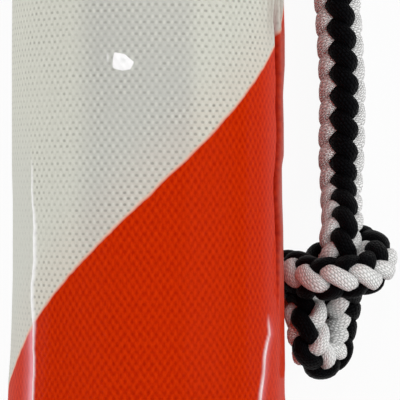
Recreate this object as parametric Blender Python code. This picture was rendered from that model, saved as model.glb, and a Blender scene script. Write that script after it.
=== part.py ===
"""Canvas training bumper: a foam float in a laminated canvas cover, with a knotted throw rope.

The bumper lies on its side along Y, with its rope end at +Y, on the plane z = 0. The cover is one
tube of canvas, round in the middle and pressed flat at both ends, where tape binds it and thread
closes it. A grommet through the rope end's flat tab carries the throw rope, which is held by a
stopper knot above the tab and lies beside the bumper with a hand knot near its free end.
Units are metres.
"""

import math

import bmesh
import bpy
import numpy as np
from mathutils import Vector

# Cover
BODY_DIAMETER = 0.052
BODY_LENGTH = 0.229
CANVAS_THICKNESS = 0.0009
CONTACT_SAG = 0.0003
ROPE_TAPER_LENGTH = 0.050
FAR_TAB_LENGTH = 0.018
FAR_TAPER_LENGTH = 0.052
PINCH_POWER = 1.7

# Float inside the cover
CORE_END_THICKNESS = 0.008

# Gap kept between pieces that touch
SEAT_GAP = 0.0003

# Tape folded over each flat end
TAPE_THICKNESS = 0.0008
TAPE_LEG = 0.009

# Sewing
STITCH_LENGTH = 0.005
THREAD_WIDTH = 0.0008
THREAD_THICKNESS = 0.0005
THREAD_DIP = 0.0002
ROW_INSET = 0.002
BINDING_ROW_SETBACK = 0.0022
CLOSING_ROW_SETBACK = 0.0025
SEAM_DISTANCE = 0.015
SEAM_ROW_SPACING = 0.006

# Grommet
GROMMET_BORE_DIAMETER = 0.0111
GROMMET_FLANGE_DIAMETER = 0.0230
GROMMET_METAL = 0.0006
GROMMET_CROWN = 0.0011
GROMMET_MARGIN = 0.001

# Throw rope
ROPE_DIAMETER = 0.0095
KNOT_STRAND_DIAMETER = 0.0066
ROPE_POINT_SPACING = 0.0026
TIP_LENGTH = 0.0035
TIP_DIAMETER = 0.0068

# Facets
GIRTH_SEGMENTS = 36
TAPER_STEPS = 6
TURNED_SEGMENTS = 32
NOSE_STEPS = 6

BODY_RADIUS = BODY_DIAMETER / 2
AXIS_HEIGHT = BODY_RADIUS - CONTACT_SAG
TAB_HALF_THICKNESS = CANVAS_THICKNESS + SEAT_GAP / 2
ROPE_END = BODY_LENGTH / 2
FAR_END = -BODY_LENGTH / 2
FAR_TAB_START = FAR_END + FAR_TAB_LENGTH
GROMMET_Y = ROPE_END - TAPE_LEG - GROMMET_MARGIN - GROMMET_FLANGE_DIAMETER / 2
ROPE_CLOSING_Y = GROMMET_Y - GROMMET_FLANGE_DIAMETER / 2 - GROMMET_MARGIN - THREAD_WIDTH / 2
ROPE_TAB_START = ROPE_CLOSING_Y - CLOSING_ROW_SETBACK
TAPE_INNER = TAB_HALF_THICKNESS + SEAT_GAP
TAPE_OUTER = TAPE_INNER + TAPE_THICKNESS
TAB_TOP = AXIS_HEIGHT + TAB_HALF_THICKNESS
GROMMET_TOP = TAB_TOP + SEAT_GAP + GROMMET_CROWN

# Routes of the rope's centre line, in millimetres. Each is measured from the foot of the grommet's
# axis, on the plane that the bumper lies on, except the stopper knot's, which is measured from the
# grommet's top.
RUN_ROUTE = (
    (-0.2, 1.4, 19.0),
    (-0.8, 5.2, 11.6),
    (-2.0, 11.6, 6.6),
    (-3.2, 20.0, 4.9),
    (-1.4, 29.6, 4.9),
    (5.2, 37.4, 4.9),
    (15.0, 41.2, 4.9),
    (25.4, 39.2, 4.9),
    (33.6, 32.0, 4.9),
    (37.6, 21.8, 4.9),
    (38.2, 8.0, 4.9),
    (37.6, -10.0, 4.9),
    (36.9, -28.0, 4.9),
    (36.7, -46.0, 4.9),
    (37.1, -64.0, 4.9),
    (38.1, -82.0, 4.9),
)
HAND_KNOT_ROUTE = (
    (38.0, -94.0, 4.9),
    (37.9, -101.0, 5.6),
    (37.8, -105.8, 8.4),
    (37.7, -110.4, 12.2),
    (37.0, -115.2, 14.0),
    (37.5, -120.4, 12.5),
    (37.5, -125.9, 8.8),
    (36.7, -130.6, 6.6),
    (35.8, -134.8, 7.8),
    (33.4, -136.2, 10.9),
    (31.4, -134.0, 13.8),
    (30.8, -129.5, 14.7),
    (30.3, -126.0, 12.3),
    (31.4, -123.2, 6.2),
    (35.9, -115.7, 5.1),
    (40.5, -114.0, 6.5),
    (44.2, -115.8, 12.2),
    (42.4, -119.2, 18.4),
    (37.4, -119.9, 21.1),
    (32.0, -120.3, 19.6),
    (28.6, -119.1, 13.7),
    (24.8, -120.5, 6.8),
    (23.4, -125.6, 5.2),
    (23.2, -129.4, 5.0),
)
STOPPER_KNOT_ROUTE = (
    (0.0, 0.0, 1.6),
    (0.0, 0.0, 4.4),
    (0.0, 0.0, 10.6),
    (2.2, 0.4, 17.2),
    (8.8, 1.8, 19.0),
    (14.6, 0.9, 14.1),
    (14.1, -3.1, 7.5),
    (8.8, -7.5, 4.6),
    (0.9, -8.4, 4.6),
    (-6.6, -4.4, 4.6),
    (-7.5, 3.5, 5.5),
    (-1.8, 8.4, 8.0),
    (5.3, 6.6, 9.3),
    (7.5, 0.0, 10.6),
    (6.6, -7.1, 12.8),
    (2.7, -12.8, 12.4),
)


def clear_scene():
    for old in list(bpy.data.objects):
        bpy.data.objects.remove(old, do_unlink=True)


def make_material(name, colour, roughness, metallic=0.0, coat=0.0):
    material = bpy.data.materials.new(name)
    material.use_nodes = True
    shader = material.node_tree.nodes["Principled BSDF"]
    shader.inputs["Base Color"].default_value = (*colour, 1.0)
    shader.inputs["Roughness"].default_value = roughness
    shader.inputs["Metallic"].default_value = metallic
    shader.inputs["Coat Weight"].default_value = coat
    material.diffuse_color = (*colour, 1.0)
    return material


def add_object(name, data, material, parent=None):
    piece = bpy.data.objects.new(name, data)
    data.materials.append(material)
    bpy.context.scene.collection.objects.link(piece)
    if parent is not None:
        piece.parent = parent
        piece.matrix_parent_inverse.translation = -parent.location
    return piece


def mesh_from(name, points, faces, sharp_angle=math.radians(40.0)):
    """A closed mesh with outward faces, shaded smooth apart from its sharp edges."""
    mesh = bpy.data.meshes.new(name)
    shape = bmesh.new()
    corners = [shape.verts.new(point) for point in points]
    for face in faces:
        shape.faces.new([corners[i] for i in face])
    bmesh.ops.recalc_face_normals(shape, faces=shape.faces)
    shape.to_mesh(mesh)
    shape.free()
    mesh.shade_smooth()
    mesh.set_sharp_from_angle(angle=sharp_angle)
    return mesh


# Cover and float


def pinch(y):
    """How far the cover is pressed flat at y, from 0 in the middle to 1 on the tabs."""
    rope_share = (y - (ROPE_TAB_START - ROPE_TAPER_LENGTH)) / ROPE_TAPER_LENGTH
    far_share = ((FAR_TAB_START + FAR_TAPER_LENGTH) - y) / FAR_TAPER_LENGTH
    return min(max(rope_share, far_share, 0.0), 1.0) ** PINCH_POWER


def half_thickness(y):
    return BODY_RADIUS + (TAB_HALF_THICKNESS - BODY_RADIUS) * pinch(y)


def half_width(thickness):
    """Half the cover's width where its half height is thickness: its girth stays the same."""
    return thickness + math.pi / 2 * (BODY_RADIUS - thickness)


def cover_point(y, angle, inset):
    """A point on the cover at y, inset from its outer face. The section turns from a circle
    through an oval to two flat faces with round edges."""
    outer = half_thickness(y)
    spread = half_width(outer) - outer
    radius = outer - inset
    aside = math.cos(angle)
    x = radius * aside + math.copysign(spread * abs(aside) ** (1.0 - pinch(y)), aside)
    z = max(radius * math.sin(angle), inset - AXIS_HEIGHT)
    return (x, y, AXIS_HEIGHT + z)


def cover_section(y, inset):
    turn = 2.0 * math.pi / GIRTH_SEGMENTS
    return [cover_point(y, (i + 0.5) * turn, inset) for i in range(GIRTH_SEGMENTS)]


def stations(first, last):
    """Places along the body where its section is drawn, from first to last."""
    rope_taper_start = ROPE_TAB_START - ROPE_TAPER_LENGTH
    far_taper_start = FAR_TAB_START + FAR_TAPER_LENGTH
    places = {first, last, FAR_TAB_START, far_taper_start, rope_taper_start, ROPE_TAB_START}
    for i in range(1, TAPER_STEPS):
        share = i / TAPER_STEPS
        places.add(rope_taper_start + share * ROPE_TAPER_LENGTH)
        places.add(far_taper_start - share * FAR_TAPER_LENGTH)
    return sorted(place for place in places if first <= place <= last)


def ring_faces(ring_count, closed):
    """Faces that join rings of points in order, and back to the first one if closed."""
    faces = []
    for ring in range(ring_count if closed else ring_count - 1):
        here = ring * GIRTH_SEGMENTS
        there = (ring + 1) % ring_count * GIRTH_SEGMENTS
        for i in range(GIRTH_SEGMENTS):
            j = (i + 1) % GIRTH_SEGMENTS
            faces.append((here + i, here + j, there + j, there + i))
    return faces


def build_cover(material):
    """The canvas tube, open at both flat ends, with a hole through the tab for the grommet."""
    places = stations(FAR_END, ROPE_END)
    points = []
    for y in places:
        points += cover_section(y, 0.0)
    for y in reversed(places):
        points += cover_section(y, CANVAS_THICKNESS)
    mesh = mesh_from("cover", points, ring_faces(2 * len(places), closed=True))
    cover = add_object("cover", mesh, material)
    hole = cover.modifiers.new("grommet hole", "BOOLEAN")
    hole.object = build_grommet_cutter()
    return cover


def build_grommet_cutter():
    radius = GROMMET_BORE_DIAMETER / 2 + GROMMET_METAL + SEAT_GAP
    mesh = bpy.data.meshes.new("grommet_cutter")
    shape = bmesh.new()
    bmesh.ops.create_cone(
        shape,
        cap_ends=True,
        segments=TURNED_SEGMENTS,
        radius1=radius,
        radius2=radius,
        depth=4 * TAPE_OUTER,
    )
    shape.to_mesh(mesh)
    shape.free()
    cutter = bpy.data.objects.new("grommet_cutter", mesh)
    cutter.location = (0.0, GROMMET_Y, AXIS_HEIGHT)
    cutter.hide_render = True
    cutter.display_type = "WIRE"
    bpy.context.scene.collection.objects.link(cutter)
    return cutter


def core_end(tab_start, far_side):
    """The place in the taper where the space in the cover gets thinner than the core's end."""
    inset = CANVAS_THICKNESS + SEAT_GAP
    full, empty = far_side, tab_start
    for _ in range(40):
        middle = (full + empty) / 2
        if half_thickness(middle) - inset > CORE_END_THICKNESS / 2:
            full = middle
        else:
            empty = middle
    return full


def build_core(material):
    """The foam float: it fills the cover, and its ends are squeezed into the tapers."""
    first = core_end(FAR_TAB_START, FAR_TAB_START + FAR_TAPER_LENGTH)
    last = core_end(ROPE_TAB_START, ROPE_TAB_START - ROPE_TAPER_LENGTH)
    places = stations(first, last)
    points = []
    for y in places:
        points += cover_section(y, CANVAS_THICKNESS + SEAT_GAP)
    faces = ring_faces(len(places), closed=False)
    faces.append(tuple(range(GIRTH_SEGMENTS)))
    faces.append(tuple(range(len(points) - GIRTH_SEGMENTS, len(points))))
    return add_object("foam_core", mesh_from("foam_core", points, faces), material)


# Binding tape and sewing


def extrude_outline(name, outline, first, last, material):
    """A prism: outline holds (across, z) points, and first and last map one to its two ends."""
    points = [first(u, z) for u, z in outline] + [last(u, z) for u, z in outline]
    count = len(outline)
    faces = [tuple(range(count)), tuple(range(count, 2 * count))]
    for i in range(count):
        j = (i + 1) % count
        faces.append((i, j, count + j, count + i))
    return add_object(name, mesh_from(name, points, faces), material)


def build_binding(name, end, material):
    """Tape folded over a flat end: a U in side view, as wide as the cover's tab."""
    side = math.copysign(1.0, end)
    half_nose = math.pi / 2
    outline = [(-TAPE_LEG, TAPE_OUTER)]
    for i in range(NOSE_STEPS + 1):
        angle = half_nose - math.pi * i / NOSE_STEPS
        outline.append((TAPE_OUTER * math.cos(angle), TAPE_OUTER * math.sin(angle)))
    outline += [(-TAPE_LEG, -TAPE_OUTER), (-TAPE_LEG, -TAPE_INNER)]
    for i in range(NOSE_STEPS + 1):
        angle = -half_nose + math.pi * i / NOSE_STEPS
        outline.append((TAPE_INNER * math.cos(angle), TAPE_INNER * math.sin(angle)))
    outline.append((-TAPE_LEG, TAPE_INNER))
    reach = half_width(TAB_HALF_THICKNESS)
    return extrude_outline(
        name,
        outline,
        lambda u, z: (-reach, end + side * u, AXIS_HEIGHT + z),
        lambda u, z: (reach, end + side * u, AXIS_HEIGHT + z),
        material,
    )


def build_stitch_row(name, y, surface, up, material):
    """One thread of a lockstitch across the tab, thick over each stitch and thin at each hole."""
    reach = half_width(TAB_HALF_THICKNESS) - TAB_HALF_THICKNESS - ROW_INSET
    stitches = max(1, round(2 * reach / STITCH_LENGTH))
    base = surface + SEAT_GAP
    low = base + THREAD_THICKNESS - THREAD_DIP
    high = base + THREAD_THICKNESS
    outline = [(reach, base), (-reach, base), (-reach, low)]
    for i in range(stitches):
        middle = -reach + (i + 0.5) * 2 * reach / stitches
        hole = -reach + (i + 1.0) * 2 * reach / stitches
        outline += [(middle, high), (hole, low)]
    return extrude_outline(
        name,
        outline,
        lambda x, z: (x, y - THREAD_WIDTH / 2, AXIS_HEIGHT + up * z),
        lambda x, z: (x, y + THREAD_WIDTH / 2, AXIS_HEIGHT + up * z),
        material,
    )


def build_end_sewing(material):
    """Top and bottom threads of the row through each binding and of the row that shuts the core in."""
    rows = (
        ("binding_thread_rope", ROPE_END - TAPE_LEG + BINDING_ROW_SETBACK, TAPE_OUTER),
        ("binding_thread_far", FAR_END + TAPE_LEG - BINDING_ROW_SETBACK, TAPE_OUTER),
        ("closing_thread_rope", ROPE_CLOSING_Y, TAB_HALF_THICKNESS),
        ("closing_thread_far", FAR_TAB_START - CLOSING_ROW_SETBACK, TAB_HALF_THICKNESS),
    )
    for name, y, surface in rows:
        build_stitch_row(name + "_top", y, surface, 1.0, material)
        build_stitch_row(name + "_bottom", y, surface, -1.0, material)


def seam_point(y, distance):
    """A point just off the cover's outer face at y, a distance round it from its lowest line."""
    below = Vector((0.0, y, AXIS_HEIGHT - min(half_thickness(y), AXIS_HEIGHT)))
    walked = 0.0
    for i in range(1, GIRTH_SEGMENTS + 1):
        angle = -math.pi / 2 - math.pi / 2 * i / GIRTH_SEGMENTS
        ahead = Vector(cover_point(y, angle, 0.0))
        step = ahead - below
        if walked + step.length >= distance:
            break
        walked += step.length
        below = ahead
    outward = Vector((-step.z, 0.0, step.x)).normalized()
    lift = SEAT_GAP + THREAD_THICKNESS / 2
    return below + step.normalized() * (distance - walked) + outward * lift


def build_seam_thread(name, distance, material):
    """One row of the lengthwise lap seam, low on the side away from the rope."""
    first = FAR_TAB_START - CLOSING_ROW_SETBACK + 3 * THREAD_WIDTH
    last = ROPE_CLOSING_Y - 3 * THREAD_WIDTH
    path = [seam_point(y, distance) for y in stations(first, last)]
    return build_tube(name, path, THREAD_THICKNESS, 0, material)


# Grommet


def turned_ring(name, profile, material):
    """A ring about the grommet's axis, from a closed profile of (radius, height) points."""
    count = len(profile)
    points = []
    faces = []
    for i in range(TURNED_SEGMENTS):
        angle = 2.0 * math.pi * i / TURNED_SEGMENTS
        for radius, z in profile:
            points.append((radius * math.cos(angle), radius * math.sin(angle), z))
        here = i * count
        there = (i + 1) % TURNED_SEGMENTS * count
        for j in range(count):
            k = (j + 1) % count
            faces.append((here + j, here + k, there + k, there + j))
    ring = add_object(name, mesh_from(name, points, faces), material)
    ring.location = (0.0, GROMMET_Y, AXIS_HEIGHT)
    return ring


def build_grommet(material):
    """An eyelet pushed down through the tab, and the washer that its lower edge is rolled over."""
    bore = GROMMET_BORE_DIAMETER / 2
    barrel = bore + GROMMET_METAL
    rim = GROMMET_FLANGE_DIAMETER / 2
    seat = TAB_HALF_THICKNESS + SEAT_GAP
    washer_face = seat + GROMMET_METAL
    rolled = barrel + 3 * GROMMET_METAL
    crown = seat + GROMMET_CROWN
    eyelet = (
        (barrel, seat),
        (rim, seat),
        (rim, seat + GROMMET_METAL / 2),
        (rim - GROMMET_METAL, crown),
        (barrel + GROMMET_METAL, crown),
        (bore + GROMMET_METAL / 3, crown - GROMMET_METAL / 3),
        (bore, crown - GROMMET_METAL),
        (bore, -washer_face - SEAT_GAP - GROMMET_METAL / 2),
        (bore + GROMMET_METAL / 2, -washer_face - SEAT_GAP - GROMMET_METAL),
        (rolled, -washer_face - SEAT_GAP - GROMMET_METAL),
        (rolled, -washer_face - SEAT_GAP),
        (barrel, -washer_face - SEAT_GAP),
    )
    washer = (
        (barrel + SEAT_GAP, -seat),
        (barrel + SEAT_GAP, -washer_face),
        (rim - GROMMET_METAL / 2, -washer_face),
        (rim, -washer_face + GROMMET_METAL / 2),
        (rim, -seat),
    )
    turned_ring("grommet_eyelet", eyelet, material)
    turned_ring("grommet_washer", washer, material)


# Throw rope


def smooth_path(points, spacing):
    """Points spaced along a curve of continuous bend through the given points."""
    points = np.array(points, dtype=float)
    spans = np.sqrt(np.linalg.norm(np.diff(points, axis=0), axis=1))
    count = len(points)
    matrix = np.eye(count)
    target = np.zeros_like(points)
    for i in range(1, count - 1):
        before, after = spans[i - 1], spans[i]
        matrix[i, i - 1 : i + 2] = (before, 2.0 * (before + after), after)
        target[i] = 6.0 * (
            (points[i + 1] - points[i]) / after - (points[i] - points[i - 1]) / before
        )
    bends = np.linalg.solve(matrix, target)
    fine = []
    for i, span in enumerate(spans):
        ahead = np.linspace(0.0, span, 40, endpoint=False)[:, None]
        behind = span - ahead
        fine.append(
            (bends[i] * behind**3 + bends[i + 1] * ahead**3) / (6.0 * span)
            + (points[i] / span - bends[i] * span / 6.0) * behind
            + (points[i + 1] / span - bends[i + 1] * span / 6.0) * ahead
        )
    fine = np.vstack(fine + [points[-1:]])
    steps = np.linalg.norm(np.diff(fine, axis=0), axis=1)
    run = np.concatenate(([0.0], np.cumsum(steps)))
    wanted = np.linspace(0.0, run[-1], max(2, round(run[-1] / spacing) + 1))
    return np.column_stack([np.interp(wanted, run, fine[:, axis]) for axis in range(3)])


def route(points, origin):
    """A route's points, given in millimetres from origin, in metres."""
    return [tuple(Vector(origin) + Vector(point) * 0.001) for point in points]


def nearest_index(path, place):
    return int(np.argmin(np.linalg.norm(path - np.array(place), axis=1)))


def trim_end(path, length):
    """The path with a length cut from its last stretch."""
    path = [Vector(point) for point in path]
    path[-1] = path[-1] + (path[-2] - path[-1]).normalized() * length
    return path


def build_tube(name, path, diameter, resolution, material, parent=None):
    curve = bpy.data.curves.new(name, "CURVE")
    curve.dimensions = "3D"
    curve.bevel_depth = diameter / 2
    curve.bevel_resolution = resolution
    curve.use_fill_caps = True
    spline = curve.splines.new("POLY")
    spline.points.add(len(path) - 1)
    for point, place in zip(spline.points, path):
        point.co = (*place, 1.0)
    return add_object(name, curve, material, parent)


def build_tip(name, path, material, parent):
    """The melted end of the rope: a short plug with a rounded nose beyond the path's end."""
    end = Vector(path[-1])
    direction = (end - Vector(path[-2])).normalized()
    radius = TIP_DIAMETER / 2
    nose = radius * 0.4
    profile = (
        (0.0, radius),
        (TIP_LENGTH - nose, radius),
        (TIP_LENGTH - nose / 3, radius * 0.85),
        (TIP_LENGTH, radius * 0.5),
    )
    turn = direction.to_track_quat("Z", "Y")
    segments = TURNED_SEGMENTS // 2
    points = []
    faces = []
    for ring, (height, ring_radius) in enumerate(profile):
        for i in range(segments):
            angle = 2.0 * math.pi * i / segments
            flat = Vector((ring_radius * math.cos(angle), ring_radius * math.sin(angle), height))
            points.append(end + turn @ flat)
            if ring:
                j = (i + 1) % segments
                low, high = (ring - 1) * segments, ring * segments
                faces.append((low + i, low + j, high + j, high + i))
    faces.append(tuple(range(segments)))
    faces.append(tuple(range(len(points) - segments, len(points))))
    return add_object(name, mesh_from(name, points, faces), material, parent)


def build_rope(material, tip_material):
    """The throw rope, which turns as one about the grommet's axis."""
    swivel = bpy.data.objects.new("rope_swivel", None)
    swivel.location = (0.0, GROMMET_Y, AXIS_HEIGHT)
    bpy.context.scene.collection.objects.link(swivel)

    foot = (0.0, GROMMET_Y, 0.0)
    stopper_route = route(STOPPER_KNOT_ROUTE, (0.0, GROMMET_Y, GROMMET_TOP))
    run_route = [(0.0, GROMMET_Y, AXIS_HEIGHT)] + route(RUN_ROUTE, foot)
    hand_route = route(HAND_KNOT_ROUTE, foot)
    whole = smooth_path(stopper_route[::-1] + run_route + hand_route, ROPE_POINT_SPACING)
    top = nearest_index(whole, stopper_route[0])
    low = nearest_index(whole, hand_route[0])
    stopper = whole[top::-1]
    hand = whole[low:]
    run = whole[top : low + 1]
    run = np.vstack((run[:-1:2], run[-1:]))
    run = trim_end(trim_end(run, SEAT_GAP)[::-1], SEAT_GAP)[::-1]

    build_tube("throw_rope", run, ROPE_DIAMETER, 2, material, swivel)
    for name, path in (("stopper_knot", stopper), ("hand_knot", hand)):
        knot = trim_end(path, SEAT_GAP)
        build_tube(name, knot, KNOT_STRAND_DIAMETER, 2, material, swivel)
        build_tip(name + "_tip", path, tip_material, swivel)


def build():
    clear_scene()
    canvas = make_material("canvas", (0.70, 0.68, 0.62), 0.45, coat=1.0)
    foam = make_material("foam", (0.80, 0.80, 0.76), 0.95)
    tape = make_material("tape", (0.02, 0.02, 0.022), 0.80)
    thread = make_material("thread", (0.03, 0.03, 0.03), 0.60)
    nickel = make_material("nickel", (0.62, 0.60, 0.56), 0.28, metallic=1.0)
    rope = make_material("rope", (0.30, 0.29, 0.28), 0.75)
    melted = make_material("melted", (0.05, 0.05, 0.05), 0.40)

    build_cover(canvas)
    build_core(foam)
    build_binding("binding_rope_end", ROPE_END, tape)
    build_binding("binding_far_end", FAR_END, tape)
    build_end_sewing(thread)
    build_seam_thread("seam_thread_lower", SEAM_DISTANCE, thread)
    build_seam_thread("seam_thread_upper", SEAM_DISTANCE + SEAM_ROW_SPACING, thread)
    build_grommet(nickel)
    build_rope(rope, melted)


build()
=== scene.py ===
"""Looks of the canvas training bumper: printed canvas under clear film, taped and sewn flat ends, a
nickel grommet, and a plaited throw rope with its two knots, on a white table.

Units are metres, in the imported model's frame: the bumper lies along Y with its rope end at +Y.
"""

import math
from itertools import product

import bpy
import numpy as np
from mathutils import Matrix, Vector


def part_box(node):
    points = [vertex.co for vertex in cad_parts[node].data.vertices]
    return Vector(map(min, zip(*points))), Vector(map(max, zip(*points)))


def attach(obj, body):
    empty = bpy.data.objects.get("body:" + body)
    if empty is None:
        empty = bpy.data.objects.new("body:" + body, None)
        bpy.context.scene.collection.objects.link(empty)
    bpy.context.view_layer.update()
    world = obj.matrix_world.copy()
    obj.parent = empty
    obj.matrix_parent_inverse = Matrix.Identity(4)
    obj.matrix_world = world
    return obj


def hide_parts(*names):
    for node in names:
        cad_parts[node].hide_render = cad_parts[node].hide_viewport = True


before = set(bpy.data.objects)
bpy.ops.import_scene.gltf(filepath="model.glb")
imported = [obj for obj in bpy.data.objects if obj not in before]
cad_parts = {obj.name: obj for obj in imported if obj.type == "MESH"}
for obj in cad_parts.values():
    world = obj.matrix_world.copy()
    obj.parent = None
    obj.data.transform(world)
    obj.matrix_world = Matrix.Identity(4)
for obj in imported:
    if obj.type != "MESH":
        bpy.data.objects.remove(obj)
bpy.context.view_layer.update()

# Cover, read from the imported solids
COVER_LOW, COVER_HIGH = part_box("cover")
CONTACT_SAG = 0.0003
BODY_RADIUS = (COVER_HIGH.z - COVER_LOW.z + CONTACT_SAG) / 2
AXIS_HEIGHT = COVER_LOW.z + BODY_RADIUS - CONTACT_SAG
GIRTH = 2 * math.pi * BODY_RADIUS
FAR_END, ROPE_END = COVER_LOW.y, COVER_HIGH.y
BODY_LENGTH = ROPE_END - FAR_END
TAB_HALF_THICKNESS = 0.00105
ROPE_TAB_START = 0.0776
ROPE_TAPER_LENGTH = 0.050
FAR_TAB_START = -0.0965
FAR_TAPER_LENGTH = 0.052
PINCH_POWER = 1.7
OUTLINE_POINTS = 1441
GROMMET_HOLE_RADIUS = 0.0075

# Film and canvas relief
LAP_EDGE = -0.0572
LAP_STEP = 0.00045
SEAM_ROWS = (-0.0667, -0.0607)
SEAM_DRAW = 0.00018
CLOSING_DRAW = 0.00025
LEFT_CREASE_HEIGHT = 0.0003
RIGHT_CREASE_HEIGHT = 0.00024
FOLD_DEPTH = 0.00105
FOLD_LIP_HEIGHT = 0.00045
BLISTER_HEIGHT = 0.00025
PUCKER_HEIGHT = 0.0009
PUCKER_REACH = 0.011

# Creases in the film and the fold's two edges, as (y, distance round the cover from its top line)
LEFT_CREASE = (
    (0.004, -0.0263), (-0.0046, -0.0254), (-0.0176, -0.0242), (-0.0222, -0.0241),
    (-0.0278, -0.0250), (-0.0325, -0.0250), (-0.0362, -0.0244), (-0.052, -0.0244),
)
RIGHT_CREASE = (
    (-0.0344, 0.0272), (-0.0369, 0.0276), (-0.0384, 0.0266), (-0.0406, 0.0259), (-0.0435, 0.0254),
    (-0.0465, 0.0248), (-0.0491, 0.0240), (-0.0560, 0.0228),
)
FOLD_INNER = (
    (0.0220, 0.0296), (0.0172, 0.0301), (0.0097, 0.0307), (0.0049, 0.0306), (-0.0007, 0.0313),
    (-0.0054, 0.0305), (-0.0079, 0.0298), (-0.0120, 0.0299), (-0.0186, 0.0308), (-0.0240, 0.0312),
)
FOLD_OUTER = (
    (0.0220, 0.0324), (0.0097, 0.0328), (-0.0007, 0.0328), (-0.0054, 0.0323), (-0.0079, 0.0317),
    (-0.0120, 0.0316), (-0.0148, 0.0323), (-0.0186, 0.0328), (-0.0240, 0.0322),
)

# How far the cover's widest places stand out from the plain shape, as (y, height)
SIDE_ARC = 0.0395
RIGHT_REACH = (
    (0.0500, 0.0), (0.0253, -0.00017), (0.0196, 0.00002), (0.0138, 0.00004), (0.0081, -0.00029),
    (0.0024, -0.00015), (-0.0034, -0.00013), (-0.0056, -0.00052), (-0.0120, -0.00044),
    (-0.0177, -0.00025), (-0.0300, -0.00010), (-0.0440, 0.00006), (-0.0495, -0.00028),
    (-0.0700, 0.0),
)
LEFT_REACH = (
    (0.0600, 0.0), (0.0253, 0.00013), (0.0160, 0.00023), (-0.0063, 0.00023), (-0.0120, 0.00006),
    (-0.0264, 0.00006), (-0.0350, 0.00027), (-0.0408, 0.00046), (-0.0465, 0.00082),
    (-0.0500, 0.00062), (-0.0800, 0.0),
)

# Blister in the film, with its outline as (across, along) corners from its middle
BLISTER_ARC = -0.0041
BLISTER_Y = 0.0135
BLISTER_OUTLINE = (
    (-0.0019, 0.0022), (-0.0011, 0.0021), (0.0002, 0.0010), (0.0012, 0.0008), (0.0021, -0.0002),
    (0.0016, -0.0011), (0.0012, -0.0018), (-0.0003, -0.0020), (-0.0018, -0.0016),
    (-0.0023, -0.0012), (-0.0020, 0.0002),
)

# Print
PRINT_MIDDLE = -0.0114
PRINT_SLOPE = 0.95

# Weave
WEAVE_WIDTH = 0.00145
WEAVE_ROW = 0.00107

# Tape and sewing
SEAT_GAP = 0.0003
TAPE_THICKNESS = 0.0008
TAPE_LEG = 0.009
TAPE_LEG_STEPS = 26
TAPE_ROUNDING = 0.0004
STITCH_LENGTH = 0.005
THREAD_WIDTH = 0.0008
THREAD_THICKNESS = 0.0006
THREAD_DEPTH = 0.00048
THREAD_LAY = 0.0042
THREAD_SIDES = 12
STITCH_POINTS = 15
STITCH_GAP = 0.06
TAPE_SETBACK = 0.0022
ROW_POINTS = 60
ROW_END_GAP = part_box("binding_rope_end")[1].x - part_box("binding_thread_rope_top")[1].x

# Grommet
EYELET_LOW, EYELET_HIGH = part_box("grommet_eyelet")
GROMMET_BORE_DIAMETER = 0.0111
GROMMET_METAL = 0.0006
TURNED_SEGMENTS = 96

# Rope
GROMMET_Y = (EYELET_LOW.y + EYELET_HIGH.y) / 2
GROMMET_TOP = EYELET_HIGH.z
ROPE_DIAMETER = 0.0095
PLAIT_PITCH = 0.0090
PLAIT_STEPS = 26
STRAND_REACH = 0.00315
STRAND_DIVE = 1.9
STRAND_SWAY = 0.00135
STRAND_THICKNESS = 0.0031
STRAND_WIDTH = 0.0040
STRAND_SQUARENESS = 0.8
STRAND_SIDES = 14
KNOT_SQUEEZE = 0.9
KNOT_SQUEEZE_REACH = 0.012
END_SQUEEZE = 0.72
END_REACH = 0.006

# Melted end, as (height above the rope's end, share of its radius)
TIP_PROFILE = (
    (-0.0025, 0.55), (-0.0018, 0.92), (0.0, 1.0), (0.0012, 1.02),
    (0.0023, 0.93), (0.0030, 0.72), (0.0034, 0.40), (0.0035, 0.05),
)

# Routes of the rope's centre line, in millimetres from where the grommet's axis meets the table, or
# for the stopper knot from the grommet's top
RUN_ROUTE = (
    (-0.2, 1.4, 19), (-0.8, 5.2, 11.6), (-2, 11.6, 6.6), (-3.2, 20, 4.9), (-1.4, 29.6, 4.9),
    (5.2, 37.4, 4.9), (15, 41.2, 4.9), (25.4, 39.2, 4.9), (33.6, 32, 4.9), (37.6, 21.8, 4.9),
    (38.2, 8, 4.9), (37.6, -10, 4.9), (36.9, -28, 4.9), (36.7, -46, 4.9), (37.1, -64, 4.9),
    (38.1, -82, 4.9),
)
HAND_KNOT_ROUTE = (
    (38, -94, 4.9), (37.9, -101, 5.6), (37.8, -105.8, 8.4), (37.7, -110.4, 12.2), (37, -115.2, 14),
    (37.5, -120.4, 12.5), (37.5, -125.9, 8.8), (36.7, -130.6, 6.6), (35.8, -134.8, 7.8),
    (33.4, -136.2, 10.9), (31.4, -134, 13.8), (30.8, -129.5, 14.7), (30.3, -126, 12.3),
    (31.4, -123.2, 6.2), (35.9, -115.7, 5.1), (40.5, -114, 6.5), (44.2, -115.8, 12.2),
    (42.4, -119.2, 18.4), (37.4, -119.9, 21.1), (32, -120.3, 19.6), (28.6, -119.1, 13.7),
    (24.8, -120.5, 6.8), (23.4, -125.6, 5.2), (23.2, -129.4, 5),
)
STOPPER_KNOT_ROUTE = (
    (0, 0, 1.6), (0, 0, 4.4), (0, 0, 10.6), (2.2, 0.4, 17.2), (8.8, 1.8, 19), (14.6, 0.9, 14.1),
    (14.1, -3.1, 7.5), (8.8, -7.5, 4.6), (0.9, -8.4, 4.6), (-6.6, -4.4, 4.6), (-7.5, 3.5, 5.5),
    (-1.8, 8.4, 8), (5.3, 6.6, 9.3), (7.5, 0, 10.6), (6.6, -7.1, 12.8), (2.7, -12.8, 12.4),
)

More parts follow.
